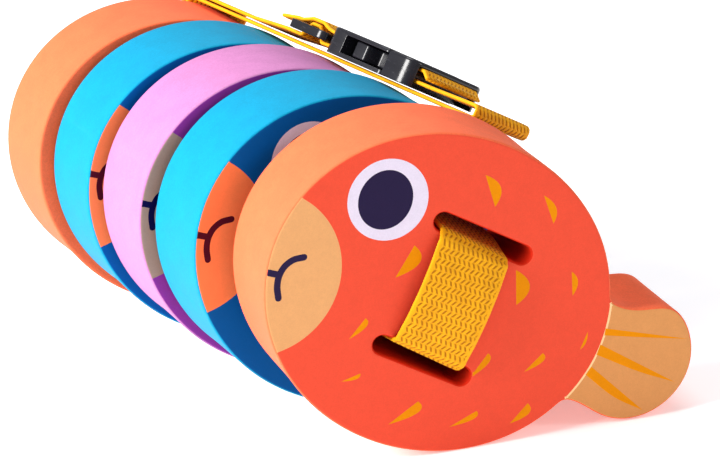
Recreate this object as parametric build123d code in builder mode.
from build123d import *
from math import cos, radians, sin
import os

os.makedirs("parts", exist_ok=True)

# ---------------------------------------------------------------- floats
BODY_HALF_LENGTH = 57.6
BODY_HALF_HEIGHT = 50.4
BODY_CENTRE = -4.3            # along the float's long axis, from the middle of its slots
THICKNESS = 34.0
EDGE_ROUND = 0.8
NECK_ROUND = 4.0              # where the tail fin leaves the body
SLOT_LENGTH = 35.0
SLOT_HEIGHT = 6.0
SLOT_SPACING = 42.2           # between the centres of the two slots
FLOAT_COUNT = 5
FRONT_GAP = 14.5              # between the first and the second float
FRONT_TURN = 6.5              # the first float stands turned a little to the left
STACK_GAP = 3.2               # between the others
STACK_RAKE = -0.108           # sideways shift for each millimetre towards the back
TILT = 30.0                   # a float rests on its belly and on its tail

# ---------------------------------------------------------------- webbing
WEB_WIDTH = 25.0
WEB_THICKNESS = 1.3
WEB_CLEARANCE = 0.35
CORNER_RADIUS = 1.6
TOP_RUN_SHIFT = 12.0          # the top runs lie this far along the floats at the buckle
TOP_RUN_DRIFT = -0.106        # and slant along the float for each millimetre back

# ---------------------------------------------------------------- buckle
BUCKLE_Y = 82.0               # the socket's mouth, from the first float's face
BUCKLE_LIFT = 58.9            # the buckle's middle, above the slots' middle
BUCKLE_WIDTH = 34.0
BUCKLE_DEPTH = 9.2
SOCKET_LENGTH = 34.0
SHELL = 1.5
CAVITY_LENGTH = 23.0
POCKET_WIDTH = 27.4           # where the webbing goes in
POCKET_LENGTH = 7.6
BAR_DEPTH = 2.4
PLUG_LENGTH = 13.0
PLUG_DEPTH = 8.8
FIT = 0.3
ARM_INSIDE = 7.6
ARM_WIDTH = 3.4
ARM_DEPTH = 5.4
ARM_LENGTH = 20.5
HEAD_START = 9.5
HEAD_REACH = 16.2             # from the middle line to the outside of a prong's head
GUIDE_WIDTH = 5.6
GUIDE_LENGTH = 17.0
GLIDE_PLACE = 45.5            # the slider's middle, from the socket's mouth
GLIDE_LIFT = -0.2
GLIDE_WIDTH = 33.0
GLIDE_LENGTH = 20.0
GLIDE_DEPTH = 3.0
GLIDE_BAR = 3.2

# The frame: X across, Y from front to back, Z up, its origin under the middle of the whole part.
MIDDLE_X = -2.97
MIDDLE_Y = -94.74
REST_HEIGHT = 50.143

LONG = Vector(cos(radians(TILT)), 0, -sin(radians(TILT)))
HIGH = Vector(sin(radians(TILT)), 0, cos(radians(TILT)))
BACK = Vector(0, 1, 0)
FACE_CENTRE = Vector(MIDDLE_X, MIDDLE_Y, REST_HEIGHT)
TURNED_BACK = Vector(sin(radians(FRONT_TURN)), cos(radians(FRONT_TURN)), 0)
TURNED_SIDE = Vector(cos(radians(FRONT_TURN)), -sin(radians(FRONT_TURN)), 0)
TURNED_LONG = TURNED_SIDE * cos(radians(TILT)) - Vector(0, 0, sin(radians(TILT)))
TURNED_HIGH = TURNED_SIDE * sin(radians(TILT)) + Vector(0, 0, cos(radians(TILT)))


def place(u, y, v):
    """The point u along the float, y behind the first face and v above the slots' middle."""
    return FACE_CENTRE + BACK * y + Vector(STACK_RAKE * y, 0, 0) + LONG * u + HIGH * v


def save(block, name):
    block.part.label = name
    export_step(block.part, f"parts/{name}.step")


def float_front(index):
    """How far the face of float number index (from 0) stands behind the first face."""
    if index == 0:
        return 0.0
    return THICKNESS + FRONT_GAP + (index - 1) * (THICKNESS + STACK_GAP)


# ---------------------------------------------------------------- the five floats
for index in range(FLOAT_COUNT):
    if index == 0:
        face = Plane(origin=FACE_CENTRE, x_dir=TURNED_LONG, z_dir=-TURNED_BACK)
    else:
        face = Plane(origin=place(0, float_front(index), 0), x_dir=LONG, z_dir=-BACK)
    with BuildPart() as body:
        with BuildSketch(face) as outline:
            with Locations((BODY_CENTRE, 0)):
                Ellipse(BODY_HALF_LENGTH, BODY_HALF_HEIGHT)
            with BuildLine() as fin:
                edge = Spline(
                    (44, 21.5), (52, 18.2), (60, 19.7), (70.5, 23.8), (80.5, 18.6),
                    (86.2, 4), (79.7, -10.5), (66.5, -16.3), (55, -15.4), (47, -17.5),
                )
                Line(edge @ 1, edge @ 0)
            make_face()
            fillet(outline.vertices(), radius=NECK_ROUND)
            with Locations((0, SLOT_SPACING / 2), (0, -SLOT_SPACING / 2)):
                SlotOverall(SLOT_LENGTH, SLOT_HEIGHT, mode=Mode.SUBTRACT)
        extrude(amount=-THICKNESS)
        rims = body.faces().filter_by(face).edges()
        fillet(rims, radius=EDGE_ROUND)
    save(body, f"float_{index + 1}")

BACK_FACE = float_front(FLOAT_COUNT - 1) + THICKNESS


# ---------------------------------------------------------------- the frame of the buckle
def top_run(y, v):
    """A point on the runs over the tops of the floats."""
    return place(TOP_RUN_SHIFT + TOP_RUN_DRIFT * (y - BUCKLE_Y), y, v)


RUN = (top_run(1, 0) - top_run(0, 0)).normalized()
ACROSS = (LONG - RUN * LONG.dot(RUN)).normalized()
BUCKLE = Plane(origin=top_run(BUCKLE_Y, BUCKLE_LIFT), x_dir=ACROSS, z_dir=ACROSS.cross(RUN))


def in_buckle(y, z, x=0):
    """A point in the buckle's frame: y towards the socket's end, z away from the floats."""
    return BUCKLE.from_local_coords(Vector(x, y, z))


# ---------------------------------------------------------------- the belt's webbing
def rounded(corners, radius, steps=4):
    """The stations of a strap: straight runs, with an arc of a few stations at each bend."""
    path = [corners[0]]
    for (before, _), (corner, side), (after, _) in zip(corners, corners[1:], corners[2:]):
        into = (corner - before).normalized()
        out = (after - corner).normalized()
        turn = into.get_angle(out)
        if turn < 20:
            path.append((corner, side))
            continue
        reach = radius * sin(radians(turn / 2)) / cos(radians(turn / 2))
        middle = corner + (out - into).normalized() * radius / cos(radians(turn / 2))
        start = corner - into * reach - middle
        bend = Axis((0, 0, 0), into.cross(out).normalized())
        for step in range(steps + 1):
            path.append((middle + start.rotate(bend, turn * step / steps), side))
    path.append(corners[-1])
    return path


def webbing(name, corners, radius=CORNER_RADIUS):
    """A flat strap of constant width through its corners, each given with its width's direction."""
    path = rounded(corners, radius)
    points = [point for point, side in path]
    runs = []
    for before, after in zip(points, points[1:]):
        runs.append((after - before).normalized())
    stations = []
    for (point, side), before, after in zip(path, [runs[0]] + runs, runs + [runs[-1]]):
        direction = before + after
        direction = (direction - side * direction.dot(side)).normalized()
        stations.append(Plane(origin=point, x_dir=side, z_dir=direction))
    with BuildPart() as strap:
        for start, end in zip(stations, stations[1:]):
            with BuildSketch(start, end):
                Rectangle(WEB_WIDTH, WEB_THICKNESS)
            loft(ruled=True)
    save(strap, name)


HALF_SLOTS = SLOT_SPACING / 2
FRONT_LAY = -WEB_CLEARANCE - WEB_THICKNESS / 2
FRONT_SLANT = -0.08           # the strands' sideways slant against the first float's slots
FRONT_END = THICKNESS + 1.5
SPLICE = THICKNESS + FRONT_GAP - 1.5
INNER_LAY = BACK_FACE + WEB_CLEARANCE + 1.1
OUTER_LAY = INNER_LAY + WEB_THICKNESS + 0.9
STEP = -STACK_RAKE * THICKNESS * sin(radians(TILT))
INNER_TOP = BODY_HALF_HEIGHT + STEP + 0.4 + WEB_THICKNESS / 2
OUTER_TOP = INNER_TOP + WEB_THICKNESS + 0.5
BIGHT_Y = 38.5                # where the inner run turns back towards the plug


def strand(y, v):
    """A point on a strand in the slots of the floats behind the first one."""
    shift = -STACK_RAKE * THICKNESS / 2
    return place(0, y, v) + Vector(shift, 0, 0)


def front_strand(y, v):
    """A point on a strand in the first float, in the frame of that float."""
    shift = FRONT_SLANT * (y - THICKNESS / 2)
    return FACE_CENTRE + TURNED_BACK * y + TURNED_HIGH * v + TURNED_SIDE * shift


BAR_LAY = BAR_DEPTH / 2 + 0.2 + WEB_THICKNESS / 2
SOCKET_BAR = SOCKET_LENGTH - 3.4
PLUG_BAR = -PLUG_LENGTH + 3.4
FOLD = -PLUG_LENGTH - 7
OVER_GLIDE = GLIDE_LIFT + GLIDE_DEPTH / 2 + 0.25 + WEB_THICKNESS / 2
UNDER_GLIDE = GLIDE_LIFT - GLIDE_DEPTH / 2 - 0.25 - WEB_THICKNESS / 2

webbing("belt_front_loop", [
    (front_strand(FRONT_END, HALF_SLOTS), TURNED_LONG),
    (front_strand(FRONT_LAY, HALF_SLOTS), TURNED_LONG),
    (front_strand(FRONT_LAY, -HALF_SLOTS), TURNED_LONG),
    (front_strand(FRONT_END, -HALF_SLOTS), TURNED_LONG),
])
webbing("belt_inner_run", [
    (front_strand(FRONT_END + 0.1, HALF_SLOTS), TURNED_LONG),
    (front_strand(FRONT_END + 1.5, HALF_SLOTS), TURNED_LONG),
    (strand(SPLICE, HALF_SLOTS), LONG),
    (strand(INNER_LAY, HALF_SLOTS), LONG),
    (top_run(INNER_LAY, INNER_TOP), LONG),
    (top_run(BACK_FACE - THICKNESS, INNER_TOP), ACROSS),
    (top_run(BIGHT_Y, INNER_TOP), ACROSS),
    (top_run(BIGHT_Y, INNER_TOP + 4), ACROSS),
    (top_run(BIGHT_Y + 3.5, INNER_TOP + 4), ACROSS),
])
webbing("belt_plug_span", [
    (top_run(BIGHT_Y + 3.8, INNER_TOP + 4), ACROSS),
    (in_buckle(FOLD - 0.3, -BAR_LAY), ACROSS),
])
webbing("belt_plug_loop", [
    (in_buckle(FOLD, -BAR_LAY), ACROSS),
    (in_buckle(PLUG_BAR + 2.6, -BAR_LAY), ACROSS),
    (in_buckle(PLUG_BAR + 2.6, BAR_LAY), ACROSS),
    (in_buckle(PLUG_BAR - 4.5, BAR_LAY), ACROSS),
    (in_buckle(FOLD + 3, 0), ACROSS),
], 1.9)
webbing("belt_outer_run", [
    (front_strand(FRONT_END + 0.1, -HALF_SLOTS), TURNED_LONG),
    (front_strand(FRONT_END + 1.5, -HALF_SLOTS), TURNED_LONG),
    (strand(SPLICE, -HALF_SLOTS), LONG),
    (strand(OUTER_LAY, -HALF_SLOTS), LONG),
    (top_run(OUTER_LAY, OUTER_TOP), LONG),
    (top_run(BACK_FACE - THICKNESS, OUTER_TOP), ACROSS),
    (in_buckle(GLIDE_PLACE + 15, UNDER_GLIDE), ACROSS),
    (in_buckle(GLIDE_PLACE + 5.8, UNDER_GLIDE), ACROSS),
    (in_buckle(GLIDE_PLACE + 2.2, OVER_GLIDE), ACROSS),
    (in_buckle(GLIDE_PLACE - 2.2, OVER_GLIDE), ACROSS),
    (in_buckle(GLIDE_PLACE - 5.8, UNDER_GLIDE), ACROSS),
    (in_buckle(SOCKET_BAR - 2.4, -BAR_LAY), ACROSS),
    (in_buckle(SOCKET_BAR - 2.4, BAR_LAY), ACROSS),
    (in_buckle(SOCKET_BAR + 3, BAR_LAY), ACROSS),
    (in_buckle(GLIDE_PLACE - 7, OVER_GLIDE + 0.4), ACROSS),
    (in_buckle(GLIDE_PLACE - 3, OVER_GLIDE + WEB_THICKNESS + 0.4), ACROSS),
    (in_buckle(GLIDE_PLACE + 3, OVER_GLIDE + WEB_THICKNESS + 0.4), ACROSS),
    (in_buckle(GLIDE_PLACE + 8, OVER_GLIDE + 0.1), ACROSS),
    (in_buckle(GLIDE_PLACE + 11, OVER_GLIDE), ACROSS),
    (in_buckle(GLIDE_PLACE + 19, OVER_GLIDE - 1.2), ACROSS),
], 1.0)


# ---------------------------------------------------------------- the side-release buckle
def layer(z):
    """The buckle's plane moved away from the floats by z."""
    return BUCKLE.offset(z)


with BuildPart() as socket:
    with BuildSketch(layer(-BUCKLE_DEPTH / 2)) as outline:
        with Locations((0, SOCKET_LENGTH / 2)):
            Rectangle(BUCKLE_WIDTH, SOCKET_LENGTH)
        fillet(outline.vertices().group_by(Axis.Y)[-1], radius=7)
        fillet(outline.vertices().group_by(Axis.Y)[0], radius=1.5)
    extrude(amount=BUCKLE_DEPTH)
    fillet(socket.faces().sort_by(Axis(BUCKLE.origin, BUCKLE.z_dir))[-1].edges(), radius=1.2)
    with BuildSketch(layer(-BUCKLE_DEPTH / 2 + SHELL)):
        with Locations((0, CAVITY_LENGTH / 2 - 1)):
            Rectangle(BUCKLE_WIDTH + 2, CAVITY_LENGTH + 2)
    extrude(amount=BUCKLE_DEPTH - 2 * SHELL, mode=Mode.SUBTRACT)
    with BuildSketch(layer(-BUCKLE_DEPTH / 2)):
        with Locations((0, SOCKET_LENGTH - POCKET_LENGTH / 2 + 1)):
            Rectangle(POCKET_WIDTH, POCKET_LENGTH + 2)
    extrude(amount=BUCKLE_DEPTH - SHELL, mode=Mode.SUBTRACT)
    with BuildSketch(layer(-BAR_DEPTH / 2)) as bar:
        with Locations((0, SOCKET_BAR)):
            Rectangle(POCKET_WIDTH + 1, BAR_DEPTH)
    extrude(amount=BAR_DEPTH)
    with BuildSketch(layer(BUCKLE_DEPTH / 2)):
        with Locations((0, CAVITY_LENGTH - 3)):
            Ellipse(8, 4.4)
    extrude(amount=-0.8, mode=Mode.SUBTRACT)
save(socket, "buckle_socket")

with BuildPart() as plug:
    with BuildSketch(layer(-PLUG_DEPTH / 2)) as outline:
        with Locations((0, -FIT - PLUG_LENGTH / 2)):
            Rectangle(BUCKLE_WIDTH, PLUG_LENGTH)
        fillet(outline.vertices().group_by(Axis.Y)[0], radius=5)
    extrude(amount=PLUG_DEPTH)
    fillet(plug.faces().sort_by(Axis(BUCKLE.origin, BUCKLE.z_dir))[-1].edges(), radius=1.2)
    with BuildSketch(layer(-PLUG_DEPTH / 2)):
        with Locations((0, -FIT - PLUG_LENGTH + POCKET_LENGTH / 2 - 1)):
            Rectangle(POCKET_WIDTH, POCKET_LENGTH + 2)
    extrude(amount=PLUG_DEPTH - SHELL, mode=Mode.SUBTRACT)
    with BuildSketch(layer(-BAR_DEPTH / 2)):
        with Locations((0, PLUG_BAR)):
            Rectangle(POCKET_WIDTH + 1, BAR_DEPTH)
        with Locations((0, GUIDE_LENGTH / 2 - 1)):
            Rectangle(GUIDE_WIDTH, GUIDE_LENGTH + 2)
    extrude(amount=BAR_DEPTH)
save(plug, "buckle_plug")

for side, name in ((1, "buckle_prong_right"), (-1, "buckle_prong_left")):
    inside = side * ARM_INSIDE
    outside = side * (ARM_INSIDE + ARM_WIDTH)
    with BuildPart() as prong:
        with BuildSketch(layer(-ARM_DEPTH / 2)):
            with BuildLine():
                FilletPolyline(
                    (inside, FIT), (outside, FIT), (outside, HEAD_START),
                    (side * HEAD_REACH, HEAD_START + 2), (side * HEAD_REACH, ARM_LENGTH - 3),
                    (outside, ARM_LENGTH), (inside, ARM_LENGTH), radius=0.9, close=True,
                )
            make_face()
        extrude(amount=ARM_DEPTH)
    save(prong, name)

# ---------------------------------------------------------------- the three-bar slider
with BuildPart() as glide:
    with BuildSketch(layer(GLIDE_LIFT - GLIDE_DEPTH / 2)):
        with Locations((0, GLIDE_PLACE)):
            RectangleRounded(GLIDE_WIDTH, GLIDE_LENGTH, 3)
            slot_length = (GLIDE_LENGTH - 3 * GLIDE_BAR) / 2
            step = GLIDE_BAR + slot_length
            with GridLocations(0, step, 1, 2):
                Rectangle(POCKET_WIDTH, slot_length, mode=Mode.SUBTRACT)
    extrude(amount=GLIDE_DEPTH)
save(glide, "tri_glide")
